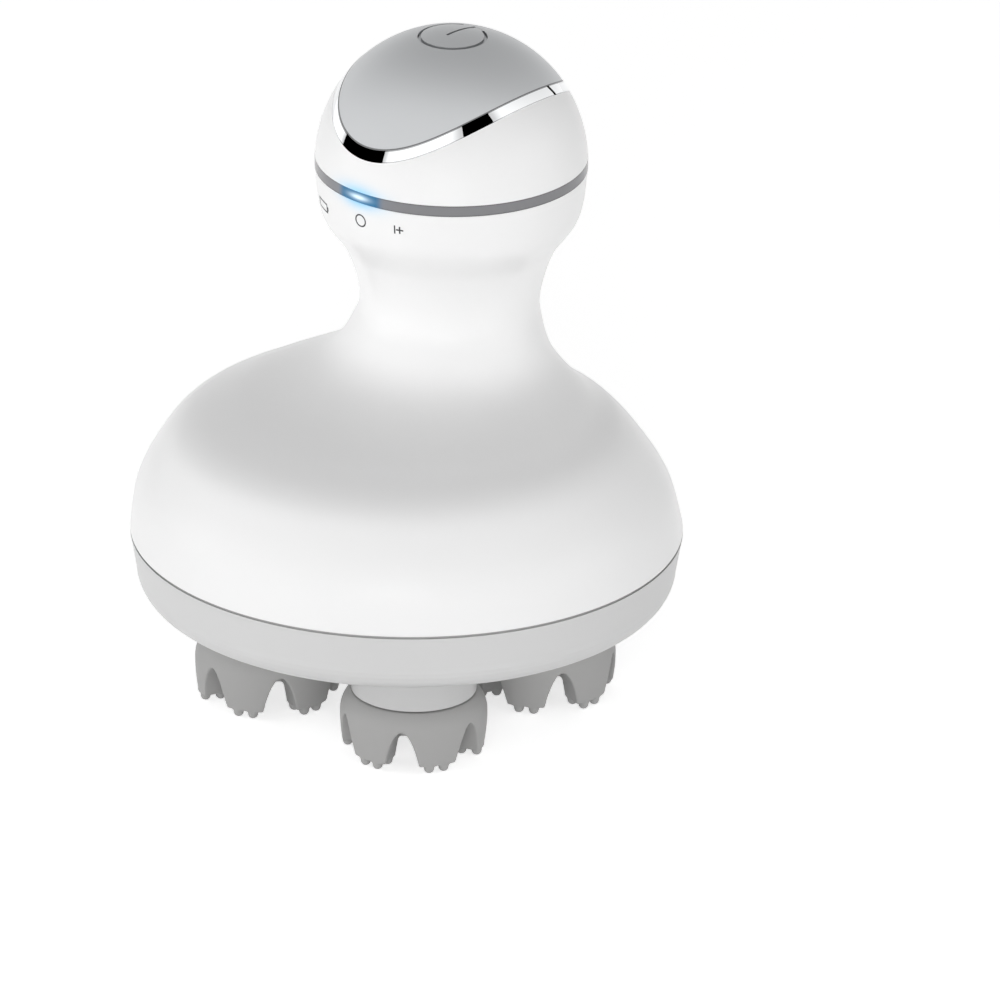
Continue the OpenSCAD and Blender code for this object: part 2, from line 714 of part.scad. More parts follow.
module light_ring() {
    color([0.50, 0.50, 0.51]) at_knob() rotate_extrude() polygon([
        [knob_lip_r - knob_lip_t, -knob_lip_down], [knob_lip_r, -knob_lip_down],
        [knob_lip_r, -ring_t / 2], [knob_r, -ring_t / 2], [knob_r, ring_t / 2],
        [knob_lip_r, ring_t / 2], [knob_lip_r, knob_lip_up], [knob_lip_r - knob_lip_t, knob_lip_up]]);
}

module ball_shell(outer, inner) {
    difference() {
        sphere(r = outer);
        sphere(r = inner);
    }
}

// Everything below a round edge that crosses the knob from side to side
module below_edge(h, r) {
    translate([0, edge_y, h - r]) rotate([0, 90, 0])
        cylinder(r = r, h = 3 * knob_r, center = true, $fn = 180);
}

module knob_shell() {
    color([0.96, 0.96, 0.96]) at_knob() intersection() {
        ball_shell(knob_r, knob_in_r);
        below_edge(trim_edge_h, trim_edge_r);
        translate([0, 0, ring_t / 2]) cylinder(r = 2 * knob_r, h = knob_r);
    }
}

module trim_strip() {
    color([0.90, 0.91, 0.92]) at_knob() {
        difference() {
            intersection() {
                ball_shell(knob_r - trim_recess, knob_in_r - trim_seat - eps);
                below_edge(cap_edge_h, cap_edge_r);
            }
            below_edge(trim_edge_h, trim_edge_r);
        }
        difference() {
            intersection() {
                ball_shell(knob_in_r - trim_seat, knob_in_r - trim_flange_t);
                below_edge(cap_edge_h + trim_flange_w, cap_edge_r);
            }
            below_edge(trim_edge_h - trim_flange_w, trim_edge_r);
        }
    }
}

module top_cap() {
    color([0.70, 0.71, 0.72]) at_knob() difference() {
        ball_shell(knob_r, knob_in_r);
        below_edge(cap_edge_h, cap_edge_r);
        cylinder(r = button_r + button_gap, h = 2 * knob_r);
    }
}

// ---------------------------------------------------------------- button and electronics

// The symbol's ring is a rebate round the button's rim, open at the back where its bar passes
module power_mark() {
    difference() {
        tube(button_r + 1, button_r - mark_w, knob_r);
        translate([0, 0, -1]) linear_extrude(knob_r + 2) polygon([
            [0, 0],
            2 * button_r * [sin(mark_open), cos(mark_open)],
            2 * button_r * [-sin(mark_open), cos(mark_open)]]);
    }
    translate([-mark_w / 2, -button_r * 0.25, 0]) cube([mark_w, button_r * 1.3, knob_r]);
}

module power_button() {
    top = sqrt(pow(knob_r, 2) - pow(button_r, 2));
    flange_r = button_r + button_flange;
    flange_top = sqrt(pow(knob_in_r, 2) - pow(flange_r, 2)) - slip;
    color([0.70, 0.71, 0.72]) at_knob() {
        difference() {
            intersection() {
                sphere(r = knob_r);
                translate([0, 0, flange_top - eps]) cylinder(r = button_r, h = knob_r);
            }
            translate([0, 0, top - mark_w]) power_mark();
        }
        translate([0, 0, flange_top - button_flange_t]) cylinder(r = flange_r, h = button_flange_t);
        translate([0, 0, stem_z - knob_z])
            cylinder(r = stem_r, h = flange_top - button_flange_t - stem_z + knob_z + eps);
    }
}

module switch_plunger() {
    color([0.12, 0.12, 0.13]) translate([0, lean, board_top + switch_h / 2])
        cylinder(r = plunger_r, h = stem_z - board_top - switch_h / 2);
}

module tact_switch() {
    color([0.20, 0.20, 0.21]) translate([0, lean, board_top]) difference() {
        translate([-switch_w / 2, -switch_w / 2, 0]) cube([switch_w, switch_w, switch_h]);
        translate([0, 0, switch_h / 2 - button_travel - slip])
            cylinder(r = plunger_r + button_gap, h = switch_h);
    }
}

module control_board() {
    color([0.10, 0.35, 0.20]) translate([0, lean, board_z]) {
        cylinder(r = board_r, h = board_t);
        for (c = chips) translate([c[0], c[1], board_t - eps]) cube([c[2], c[3], c[4]]);
    }
}

module indicator_led() {
    color([0.30, 0.62, 0.95]) translate([-led_w / 2, lean - knob_lip_r + knob_lip_t + slip, board_z - led_h])
        cube([led_w, led_t, led_h]);
}

module battery() {
    color([0.20, 0.45, 0.70]) translate([0, lean, cell_z]) {
        cylinder(r = cell_r, h = cell_h - cell_cap_h);
        cylinder(r = cell_cap_r, h = cell_h);
    }
}

module battery_cradle() {
    inner = cell_r + slip;
    outer = inner + cradle_t;
    tall = cradle_top - cell_z + cradle_foot;
    color([0.25, 0.25, 0.27]) translate([0, lean, cell_z - cradle_foot]) difference() {
        union() {
            cylinder(r = outer, h = tall);
            translate([0, 0, tall - cradle_disc_t]) cylinder(r = board_r, h = cradle_disc_t);
            for (k = [0:3]) rotate(45 + 90 * k) translate([0, -cradle_fin_t / 2, cradle_fin_z])
                cube([neck_r - wall - free_gap, cradle_fin_t, cradle_fin_h]);
        }
        translate([0, 0, cradle_foot]) cylinder(r = inner, h = tall);
        translate([0, 0, -1]) cylinder(r = inner - 3.7, h = tall);
        for (a = [0, 90]) rotate(a)
            translate([-outer - 1, -cradle_slot_w / 2, cradle_foot + cradle_slot_from])
                cube([2 * outer + 2, cradle_slot_w, tall - cradle_slot_from - cradle_slot_to]);
    }
}

// ---------------------------------------------------------------- assembly

base_cover();
base_seal();
main_housing();
light_ring();
knob_shell();
trim_strip();
top_cap();
gear_frame();
gear_axle();
drive_motor();
battery();
battery_cradle();
control_board();
indicator_led();
tact_switch();
charging_contacts();
cover_screws();
frame_screws();
motor_screws();
for (i = [0:heads - 1]) {
    shaft_bush(i);
    shaft_seal(i);
    head_gear(i);
    head_shaft(i);
    head_hub(i);
    massage_head(i);
}
reduction_gear();
motor_shaft();
motor_pinion();
power_button();
switch_plunger();
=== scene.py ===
# %% [markdown]
# # A scalp massager, dressed for its picture
#
# The object is a small battery appliance that stands on four soft heads. A wide white dome narrows
# to a neck, and the neck leans back to a round knob that the hand holds. Its moving parts were
# packed as a model before this script runs, so here nothing changes size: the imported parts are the
# frame, and each new piece takes its place from them. One millimetre is 0.001, because every length
# in Blender is in metres.

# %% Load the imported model
import json
import math
import bmesh
import bpy
from mathutils import Matrix, Quaternion, Vector

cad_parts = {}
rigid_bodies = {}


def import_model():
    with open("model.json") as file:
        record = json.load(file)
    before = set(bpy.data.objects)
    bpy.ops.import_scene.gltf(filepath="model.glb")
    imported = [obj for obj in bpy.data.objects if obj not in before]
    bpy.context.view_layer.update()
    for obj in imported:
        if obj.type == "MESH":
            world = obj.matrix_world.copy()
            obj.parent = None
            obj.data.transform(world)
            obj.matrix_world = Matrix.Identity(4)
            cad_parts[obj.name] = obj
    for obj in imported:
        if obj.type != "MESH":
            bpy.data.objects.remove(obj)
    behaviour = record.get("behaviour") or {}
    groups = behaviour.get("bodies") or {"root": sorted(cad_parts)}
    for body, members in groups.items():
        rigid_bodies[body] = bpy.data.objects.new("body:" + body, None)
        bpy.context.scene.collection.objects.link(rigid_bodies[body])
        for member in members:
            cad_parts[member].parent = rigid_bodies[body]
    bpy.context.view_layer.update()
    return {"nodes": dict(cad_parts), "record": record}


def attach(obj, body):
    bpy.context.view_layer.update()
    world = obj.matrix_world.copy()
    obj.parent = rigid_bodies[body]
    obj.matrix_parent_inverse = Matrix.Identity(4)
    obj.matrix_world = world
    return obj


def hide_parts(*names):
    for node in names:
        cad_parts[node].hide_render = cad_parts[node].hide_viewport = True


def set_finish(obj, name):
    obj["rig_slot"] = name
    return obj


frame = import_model()
MM = 0.001

# %% [markdown]
# ## The camera
#
# The picture was taken from the right of the front and from a little above, from so far away that
# the base's near and far edges look almost equally wide. A long lens at 2.8 m gives that flat look.
# The object stands left of the middle and above it, so the camera turns a little to the right and
# down instead of shifting its lens: the same frame, and nothing to undo in other views.

# %% Aim the camera
AZIMUTH, ELEVATION, ROLL = math.radians(41.423), math.radians(23.093), math.radians(0.626)
DISTANCE = 2804 * MM
MIDDLE_H = 60
FRAME_PIXELS, LENS_PIXELS, PIXELS_PER_MM = 1000, 15680, 5.592
AIM_RIGHT, AIM_DOWN = 93.17, 115.67  # pixels from the object's middle to the picture's


def towards(azimuth, elevation):
    """The unit vector from the object to a place round it, from its angles in radians."""
    return Vector((math.sin(azimuth) * math.cos(elevation),
                   -math.cos(azimuth) * math.cos(elevation), math.sin(elevation)))


middle = Vector((0, 0, MIDDLE_H * MM))
away = towards(AZIMUTH, ELEVATION)
sideways = Vector((math.cos(AZIMUTH), math.sin(AZIMUTH), 0))
upwards = away.cross(sideways)
eye = middle + away * DISTANCE
aim = middle + (sideways * AIM_RIGHT - upwards * AIM_DOWN) / PIXELS_PER_MM * MM

camera_data = bpy.data.cameras.new("photo_camera")
camera_data.sensor_width = 36
camera_data.lens = LENS_PIXELS / FRAME_PIXELS * camera_data.sensor_width
camera_data.clip_start, camera_data.clip_end = 0.1, 20
camera = bpy.data.objects.new("photo_camera", camera_data)
camera.location = eye
camera.rotation_mode = "QUATERNION"
camera.rotation_quaternion = (aim - eye).to_track_quat("-Z", "Y") @ Quaternion((0, 0, 1), ROLL)
bpy.context.scene.collection.objects.link(camera)
bpy.context.scene.camera = camera
print("lens in mm:", round(camera_data.lens), "camera at", [round(c, 3) for c in eye])

# %% [markdown]
# ## Small helpers
#
# Every piece is made the same way: a bmesh is shaped with Blender's own mesh operators, becomes an
# object that sits at the origin, gets a material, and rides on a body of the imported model.

# %% Make an object from a bmesh
def as_mesh(bm, name):
    """Turns a bmesh in millimetres into a mesh in metres."""
    bmesh.ops.scale(bm, vec=(MM, MM, MM), verts=bm.verts)
    mesh = bpy.data.meshes.new(name)
    bm.to_mesh(mesh)
    bm.free()
    return mesh


def as_object(name, data):
    """Puts a mesh or a lamp in the scene."""
    thing = bpy.data.objects.new(name, data)
    bpy.context.scene.collection.objects.link(thing)
    return thing


def as_piece(bm, name, material_slot, body, *stands_for):
    """Turns a bmesh in millimetres into a smooth piece that rides on a body."""
    mesh = as_mesh(bm, name)
    mesh.shade_smooth()
    piece = as_object(name, mesh)
    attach(piece, body)
    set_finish(piece, material_slot)
    if stands_for:
        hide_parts(*stands_for)
    print(name, len(mesh.polygons), "faces")
    return piece


# %% [markdown]
# ## The white housing
#
# The dome, the neck and the lower half of the knob are one moulding. Every level of it is a circle,
# but the circles' centres wander: they move forward over the shoulder and then back with the neck.
# A plain spin can't do that, so the wall is a stack of hoops with a bridge between each pair. The
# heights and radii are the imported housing's own, and a curve through them gives the hoops between.

# %% Levels of the housing
PARTING, WALL, NECK_H, NECK_R = 32.4, 2.0, 43.0, 16.3
BASE_R, KNOB_R, KNOB_H, RING_T, LEAN = 49.7, 24.4, 67.5, 2.0, 11.25
KNOB = Vector((0, LEAN, PARTING + KNOB_H))
RING_Z = KNOB.z - RING_T / 2

# Each row is a share of the height, of the way from the neck's radius outwards, and of the lean.
DOME_SHAPE = ((0, 1, 0), (0.19, 0.95, -0.07), (0.36, 0.83, -0.13), (0.48, 0.7, -0.14),
              (0.57, 0.495, 0.03), (0.71, 0.145, 0.72), (0.87, 0.02, 0.94), (1, 0, 1))
KNOB_SHAPE = ((0.35, 0.31, 1), (0.64, 0.85, 1), (1, 1, 1))


def levels(shape, foot, height, end_r):
    """Turns rows of shares into (z, radius, middle's y) in millimetres."""
    return [(foot + h * height, NECK_R + r * (end_r - NECK_R), y * LEAN) for h, r, y in shape]


stations = levels(DOME_SHAPE, PARTING, NECK_H, BASE_R)
stations += levels(KNOB_SHAPE, PARTING + NECK_H, KNOB_H - RING_T / 2 - NECK_H, KNOB_R)
print("levels:", len(stations), "from z", stations[0][0], "to", round(stations[-1][0], 1))

# %% A smooth curve through the levels
HOOPS_BETWEEN = 12


def through(points, steps):
    """A smooth curve through the points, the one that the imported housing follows."""
    curve = []
    for i in range(len(points) - 1):
        a, b, c, d = (Vector(points[min(max(i + k, 0), len(points) - 1)]) for k in (-1, 0, 1, 2))
        for k in range(steps):
            t = k / steps
            curve.append((2 * b + (c - a) * t + (2 * a - 5 * b + 4 * c - d) * t ** 2
                          + (3 * b - a - 3 * c + d) * t ** 3) / 2)
    return curve + [Vector(points[-1])]


def at_height(curve, z):
    """The curve's hoop at height z: (z, radius, middle's y)."""
    for low, high in zip(curve, curve[1:]):
        if low[0] <= z <= high[0]:
            return low.lerp(high, (z - low[0]) / (high[0] - low[0]))
    return curve[-1]


skin = through(stations, HOOPS_BETWEEN)
print("hoops:", len(skin), "neck radius", round(min(hoop[1] for hoop in skin), 2))

# %% The inside of the wall
PLATE_TOP, LEDGE_T, LEDGE_W, RIM_GAP = 36.0, 1.6, 5.2, 1
LEDGE_R = BASE_R - WALL - LEDGE_W

lining = []
for below, here, above in zip(skin[:1] + skin[:-1], skin, skin[1:] + skin[-1:]):
    along = (above - below).xy.normalized()
    lining.append(Vector((here[0] + WALL * along.y, here[1] - WALL * along.x, here[2])))
ledge = [(PARTING, BASE_R - WALL, 0), at_height(lining, PLATE_TOP), (PLATE_TOP, LEDGE_R, 0),
         (PLATE_TOP + LEDGE_T, LEDGE_R, 0), at_height(lining, PLATE_TOP + LEDGE_T)]
inner = [hoop for hoop in lining if PLATE_TOP + LEDGE_T + RIM_GAP < hoop[0] < RING_Z - RIM_GAP]
rim_up = (RING_Z, KNOB_R - WALL, LEAN)
print("ledge radius", round(LEDGE_R, 1), "hoops inside:", len(ledge) + len(inner) + 1)

# %% Bridge the hoops into one closed wall
HOOP_SEGMENTS = 144


def hoop_edges(bm, hoop):
    """Makes a hoop from (z, radius, middle's y) and gives its edges."""
    z, radius, y = hoop
    ring = bmesh.ops.create_circle(bm, segments=HOOP_SEGMENTS, radius=radius,
                                   matrix=Matrix.Translation((0, y, z)))["verts"]
    return list({edge for vert in ring for edge in vert.link_edges})


bm = bmesh.new()
rings = [hoop_edges(bm, hoop) for hoop in skin + [rim_up] + inner[::-1] + ledge[::-1]]
for low, high in zip(rings, rings[1:] + rings[:1]):
    bmesh.ops.bridge_loops(bm, edges=low + high)
bmesh.ops.recalc_face_normals(bm, faces=bm.faces)
housing = as_piece(bm, "housing_shell", "white_shell", "housing", "main_housing")

# %% Soften its rims
SHARP, RIM_ROUND = math.radians(50), 0.25

rims = housing.modifiers.new("rims", "BEVEL")
rims.width = RIM_ROUND * MM
rims.segments = 3
rims.limit_method = "ANGLE"
rims.angle_limit = SHARP
rims.use_clamp_overlap = True
print("rims rounded over", RIM_ROUND, "mm")

# %% [markdown]
# ## The soft heads
#
# A head is one silicone moulding: a thick roof with six legs under it, and each leg ends in four
# round nubs. Silicone parts have no sharp edge anywhere. The moulding is first cut with hard edges,
# as a toolmaker would cut the mould: a spun body, six arches, a hollow and the nubs. Then a fine
# voxel remesh joins everything into one skin, and smoothing rolls the edges over.

# %% Sizes of a soft head
HEAD_INSET = 24.95
PITCH = (BASE_R - HEAD_INSET) * math.sqrt(2)
FOOT_Z, HEAD_H, ROOF_T, CEILING_RISE = 1.5, 10.0, 5.2, 1.4
HEAD_R, HEAD_TOP_R, HEAD_FOOT_R, BULGE_H, LEG_T = 13.2, 11.2, 12.7, 6.0, 4.8
ARCH_W, ARCH_H, LEGS = 6.4, 6.8, 6
NUB_R, NUB_PITCH = 0.95, 2.75
HEAD_TOP = FOOT_Z + HEAD_H
ARC_STEPS = 8
print("heads", round(2 * HEAD_R, 1), "mm across at a pitch of", round(PITCH, 1))

# %% Spin the body of the head
def arc(x, z, radius, first, last):
    """Points (x, z) on an arc round (x, z), between two angles in degrees."""
    angles = [math.radians(first + (last - first) * k / ARC_STEPS) for k in range(ARC_STEPS + 1)]
    return [(x + radius * math.cos(a), z + radius * math.sin(a)) for a in angles]


def sag_radius(sag, half):
    """Radius of the arc that is `sag` deep over half a chord."""
    return (sag ** 2 + half ** 2) / (2 * sag)


low_r = sag_radius(HEAD_R - HEAD_FOOT_R, BULGE_H)
high_r = sag_radius(HEAD_R - HEAD_TOP_R, HEAD_H - BULGE_H)
bulge_z = FOOT_Z + BULGE_H
low_turn = math.degrees(math.asin(BULGE_H / low_r))
high_turn = math.degrees(math.asin((HEAD_H - BULGE_H) / high_r))
side = arc(HEAD_R - low_r, bulge_z, low_r, -low_turn, 0)
side += arc(HEAD_R - high_r, bulge_z, high_r, 0, high_turn)[1:]

hollow_r, ceiling = HEAD_FOOT_R - LEG_T, HEAD_TOP - ROOF_T
ceiling_r = sag_radius(CEILING_RISE, hollow_r)
outs = [hollow_r * k / ARC_STEPS for k in range(ARC_STEPS + 1)]
hollow = [(out, ceiling - ceiling_r + math.sqrt(ceiling_r ** 2 - out ** 2)) for out in outs]
section = [(0.0, HEAD_TOP)] + hollow + [(hollow_r, FOOT_Z)] + side

bm = bmesh.new()
ring = [bm.verts.new((x, 0, z)) for x, z in section]
edges = [bm.edges.new(pair) for pair in zip(ring, ring[1:] + ring[:1])]
bmesh.ops.spin(bm, geom=ring + edges, cent=(0, 0, 0), axis=(0, 0, 1), angle=math.tau, steps=96,
               use_merge=True)
bmesh.ops.remove_doubles(bm, verts=bm.verts, dist=1e-4)
bmesh.ops.recalc_face_normals(bm, faces=bm.faces)
head_mesh = as_mesh(bm, "head_body")
print("head body:", len(head_mesh.polygons), "faces before the cuts")

# %% Cutters for the arches between the legs
CUT_NEAR, CUT_FAR, CUT_FOOT = hollow_r - 0.6, HEAD_R + 1, FOOT_Z - 2


def arch_outline():
    """The arch's inner end: its width grows with the root of the depth."""
    half = ARCH_W * (CUT_NEAR / HEAD_FOOT_R) / 2
    top = [(half * k / ARC_STEPS, FOOT_Z + ARCH_H * (1 - (k / ARC_STEPS) ** 2))
           for k in range(-ARC_STEPS, ARC_STEPS + 1)]
    return [(CUT_NEAR, y, z) for y, z in top + [(half, CUT_FOOT), (-half, CUT_FOOT)]]


bm = bmesh.new()
for k in range(LEGS):
    face = bm.faces.new([bm.verts.new(point) for point in arch_outline()])
    grown = bmesh.ops.extrude_face_region(bm, geom=[face])["geom"]
    outer = [part for part in grown if isinstance(part, bmesh.types.BMVert)]
    bmesh.ops.translate(bm, vec=(CUT_FAR - CUT_NEAR, 0, 0), verts=outer)
    for vert in outer:
        vert.co.y *= CUT_FAR / CUT_NEAR
    bmesh.ops.rotate(bm, cent=(0, 0, 0), verts=list(face.verts) + outer,
                     matrix=Matrix.Rotation(math.radians(360 / LEGS * (k + 0.5)), 3, "Z"))
bmesh.ops.recalc_face_normals(bm, faces=bm.faces)
arch_mesh = as_mesh(bm, "arch_cutters")
print("arch cutters:", len(arch_mesh.polygons), "faces")

# %% The nubs under the legs
bm = bmesh.new()
for k in range(LEGS):
    turn = Matrix.Rotation(math.tau * k / LEGS, 4, "Z")
    for u in (-0.5, 0.5):
        for v in (-0.5, 0.5):
            nub_at = Vector((HEAD_FOOT_R - LEG_T / 2 + u * NUB_PITCH, v * NUB_PITCH, NUB_R))
            ball = bmesh.ops.create_uvsphere(bm, u_segments=24, v_segments=16, radius=NUB_R)["verts"]
            for vert in ball:
                if vert.co.z > 0:
                    vert.co.z += FOOT_Z
            bmesh.ops.transform(bm, matrix=turn @ Matrix.Translation(nub_at), verts=ball)
nub_mesh = as_mesh(bm, "nubs")
print("nubs:", 4 * LEGS, "with", len(nub_mesh.polygons), "faces")

# %% Melt it all into one skin
VOXEL = 0.2 * MM

body, arches = as_object("head_body", head_mesh), as_object("arches", arch_mesh)
nubs = as_object("nubs", nub_mesh)
cut = body.modifiers.new("arches", "BOOLEAN")
cut.operation, cut.object, cut.solver = "DIFFERENCE", arches, "EXACT"
add = body.modifiers.new("nubs", "BOOLEAN")
add.operation, add.object, add.solver = "UNION", nubs, "EXACT"
melt = body.modifiers.new("melt", "REMESH")
melt.mode, melt.voxel_size, melt.use_smooth_shade = "VOXEL", VOXEL, True
roll = body.modifiers.new("roll", "SMOOTH")
roll.factor, roll.iterations = 0.5, 8
bpy.context.view_layer.update()
one_head = bpy.data.meshes.new_from_object(body.evaluated_get(bpy.context.evaluated_depsgraph_get()))
for part in (body, arches, nubs):
    bpy.data.objects.remove(part)
print("one head:", len(one_head.polygons), "faces, z",
      [round(f(v.co.z for v in one_head.vertices) / MM, 2) for f in (min, max)])

# %% Place the four heads
TURNS = (32, 57, 30, 52)

axis = PITCH / 2 * MM
corners = (("front_right_head", axis, -axis), ("back_right_head", axis, axis),
           ("back_left_head", -axis, axis), ("front_left_head", -axis, -axis))
soft_heads = []
for number, ((body_name, x, y), turn) in enumerate(zip(corners, TURNS), 1):
    mesh = one_head.copy()
    mesh.transform(Matrix.Translation((x, y, 0)) @ Matrix.Rotation(math.radians(turn), 4, "Z"))
    mesh.shade_smooth()
    piece = as_object(f"soft_head_{number}", mesh)
    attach(piece, body_name)
    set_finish(piece, "silicone")
    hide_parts(f"massage_head_{number}")
    soft_heads.append(piece)
print("heads placed:", [piece.name for piece in soft_heads])

# %% [markdown]
# ## The plated band
#
# A bright band runs round the knob between the silver cap and the white shell. It is a thin plated
# hoop that lies a hair proud of the shell and laps over its edge. Seen from the side, its two edges
# are arches, so it is widest at the front and back. A flat grid has the right faces already: each of
# its points only has to be laid on the knob, between the two arches, and then the band gets its
# thickness. It stays smooth all over with two crisp edges, as plating shows every dent.

# %% Where the arches cross the knob
CAP_DROP = 7.2
CAP_EDGE_H, CAP_EDGE_R, EDGE_Y = KNOB_R - CAP_DROP, 36.6, 0.4
BAND_W, BAND_FLARE, LAP_W, BAND_PROUD, BAND_T = 1.15, 0.35, 0.34, 0.03, 0.3
STEEPEST, HALVINGS = math.radians(85), 40


def arch_crossing(around, arch_h, arch_r):
    """How far up the knob, as an angle, an arch lies when seen `around` from the front."""
    low, high = 0.0, STEEPEST
    for _ in range(HALVINGS):
        up = (low + high) / 2
        aside = KNOB_R * math.cos(up) * math.cos(around) + EDGE_Y
        above = KNOB_R * math.sin(up) - (arch_h - arch_r)
        if math.hypot(aside, above) < arch_r:
            low = up
        else:
            high = up
    return up


band_low = KNOB_R * math.sin(arch_crossing(0, CAP_EDGE_H, CAP_EDGE_R)) - BAND_W - BAND_FLARE
band_h = CAP_EDGE_H - BAND_W
band_r = sag_radius(band_h - band_low, EDGE_Y + math.sqrt(KNOB_R ** 2 - band_low ** 2))
lap_h, lap_r = band_h - LAP_W, band_r - LAP_W
print("band's lower arch: top", round(lap_h, 2), "radius", round(lap_r, 2))

# %% Lay the band on the knob
BAND_COLUMNS, BAND_ROWS = 360, 4

bm = bmesh.new()
grid = bmesh.ops.create_grid(bm, x_segments=BAND_COLUMNS, y_segments=BAND_ROWS, size=0.5)["verts"]
for vert in grid:
    around = math.tau * vert.co.x
    top = arch_crossing(around, CAP_EDGE_H, CAP_EDGE_R)
    bottom = arch_crossing(around, lap_h, lap_r)
    up = bottom + (top - bottom) * (vert.co.y + 0.5)
    vert.co = KNOB + (KNOB_R + BAND_PROUD) * towards(around, up)
bmesh.ops.remove_doubles(bm, verts=bm.verts, dist=1e-4)
bmesh.ops.recalc_face_normals(bm, faces=bm.faces)
outwards = sum(face.normal.dot(face.calc_center_median() - KNOB) > 0 for face in bm.faces)
if outwards < len(bm.faces) / 2:
    bmesh.ops.reverse_faces(bm, faces=bm.faces)
bmesh.ops.solidify(bm, geom=bm.faces[:], thickness=BAND_T)
reach = [(vert.co - KNOB).length for vert in bm.verts]
print("band from", round(min(reach), 2), "to", round(max(reach), 2), "mm from the knob's middle")
band = as_piece(bm, "plated_band", "chrome_trim", "housing", "trim_strip")
band.data.set_sharp_from_angle(angle=SHARP)

# %% [markdown]
# ## The printed signs
#
# Under the dark ring, three grey signs are printed on the white wall: the outline of a battery, a
# circle, and a bar beside a plus. A soft pad carries such ink onto a curved wall. The signs are made
# the same way here: each is drawn flat, in millimetres to the right and up, then wrapped round the
# wall and given the thickness of a film of ink.

# %% Draw flat signs and wrap them
LINE, INK = 0.27, 0.02


def drawn_ring(bm, radius):
    """A flat ring as wide as a printed line."""
    rims = [bmesh.ops.create_circle(bm, segments=48, radius=radius + side * LINE / 2)["verts"]
            for side in (-1, 1)]
    bmesh.ops.bridge_loops(bm, edges=list({e for rim in rims for v in rim for e in v.link_edges}))
    return rims[0] + rims[1]


def drawn_bar(bm, x, y, width, height):
    """A flat bar with its middle at (x, y)."""
    place = Matrix.Translation((x, y, 0)) @ Matrix.Diagonal((width, height, 1, 1))
    return bmesh.ops.create_grid(bm, x_segments=4, y_segments=4, size=0.5, matrix=place)["verts"]


def wrap(verts, angle, height):
    """Lays flat points on the wall: angle in degrees from the front towards +X, height in mm."""
    for vert in verts:
        z, radius, y = at_height(skin, height + vert.co.y)
        radius += INK
        around = math.radians(angle) + vert.co.x / radius
        vert.co = (radius * math.sin(around), y - radius * math.cos(around), z)


# %% Print the three signs
SIGN_Z, BATTERY_Z = 95.4, 94.1
CIRCLE_AT, BAR_AT, PLUS_AT, BATTERY_AT = -0.4, 16.9, 19.2, -30.3
CIRCLE_R, BAR_H, PLUS_H, BATTERY_W, BATTERY_H = 1.12, 1.6, 1.4, 4.3, 1.6

bm = bmesh.new()
wrap(drawn_ring(bm, CIRCLE_R), CIRCLE_AT, SIGN_Z)
wrap(drawn_bar(bm, 0, 0, LINE, BAR_H), BAR_AT, SIGN_Z)
plus = drawn_bar(bm, 0, 0, LINE, PLUS_H)
battery = drawn_bar(bm, (BATTERY_W + LINE) / 2, 0, LINE * 2, BATTERY_H * 0.5)
for side in (-1, 1):
    plus += drawn_bar(bm, side * (PLUS_H + LINE) / 4, 0, (PLUS_H - LINE) / 2, LINE)
    battery += drawn_bar(bm, 0, side * BATTERY_H / 2, BATTERY_W, LINE)
    battery += drawn_bar(bm, side * (BATTERY_W - LINE) / 2, 0, LINE, BATTERY_H - LINE)
wrap(plus, PLUS_AT, SIGN_Z)
wrap(battery, BATTERY_AT, BATTERY_Z)
bmesh.ops.recalc_face_normals(bm, faces=bm.faces)
bmesh.ops.solidify(bm, geom=bm.faces[:], thickness=INK / 2)
bmesh.ops.recalc_face_normals(bm, faces=bm.faces)
signs = as_piece(bm, "printed_signs", "black_resin", "housing")

# %% [markdown]
# ## The studio
#
# Glossy white goods are photographed in a white tent: the light comes from all round, strongest from
# the sides, so the dome's shoulder, which looks up, is greyer than its flank. The world is that tent,
# and three soft lamps light the flank. The floor is pale and takes the object's shadow, and it reads
# as plain white where nothing shades it. Three dark cards stand in the tent, one of them a thin
# strip, because bright plated trim only looks like metal when it mirrors something dark. Only a ray
# from a true mirror sees them, so that they leave no smudge on satin or glossy surfaces.

# %% Wire and calculate
def wire(tree, socket, value):
    """Feeds a socket from another socket, or sets it to a plain value."""
    if isinstance(value, bpy.types.NodeSocket):
        tree.links.new(value, socket)
    else:
        socket.default_value = value


def calc(tree, operation, *values):
    """The result of one piece of arithmetic."""
    node = tree.nodes.new("ShaderNodeMath")
    node.operation = operation
    for socket, value in zip(node.inputs, values):
        wire(tree, socket, value)
    return node.outputs[0]


# %% Ramps, blends and the parts of a vector
def ramp(tree, value, first, last, low, high):
    """Goes smoothly from low to high while value goes from first to last."""
    node = tree.nodes.new("ShaderNodeMapRange")
    node.interpolation_type = "SMOOTHSTEP"
    for socket, number in zip(node.inputs, (value, first, last, low, high)):
        wire(tree, socket, number)
    return node.outputs[0]


def blend_numbers(tree, factor, a, b):
    """The number a where the factor is 0, and b where it is 1."""
    node = tree.nodes.new("ShaderNodeMix")
    node.data_type = "FLOAT"
    for label, value in (("Factor", factor), ("A", a), ("B", b)):
        wire(tree, node.inputs[label], value)
    return node.outputs[0]


def blend_colours(tree, factor, a, b):
    """The colour a where the factor is 0, and b where it is 1."""
    node = tree.nodes.new("ShaderNodeMix")
    node.data_type = "RGBA"
    for socket, value in ((node.inputs[0], factor), (node.inputs[6], a), (node.inputs[7], b)):
        wire(tree, socket, value)
    return node.outputs[2]


def parts_of(tree, vector):
    """A vector's X, Y and Z."""
    node = tree.nodes.new("ShaderNodeSeparateXYZ")
    wire(tree, node.inputs[0], vector)
    return node.outputs


# %% The dark cards
# Each card in degrees: azimuth of its middle, half its width, height, half its height, soft margin.
CARDS = ((-43, 23, 8, 9, 6), (74, 20, 47, 11, 18), (178, 1.3, 15, 12, 0.5))
MARGIN_SHADE = 0.45

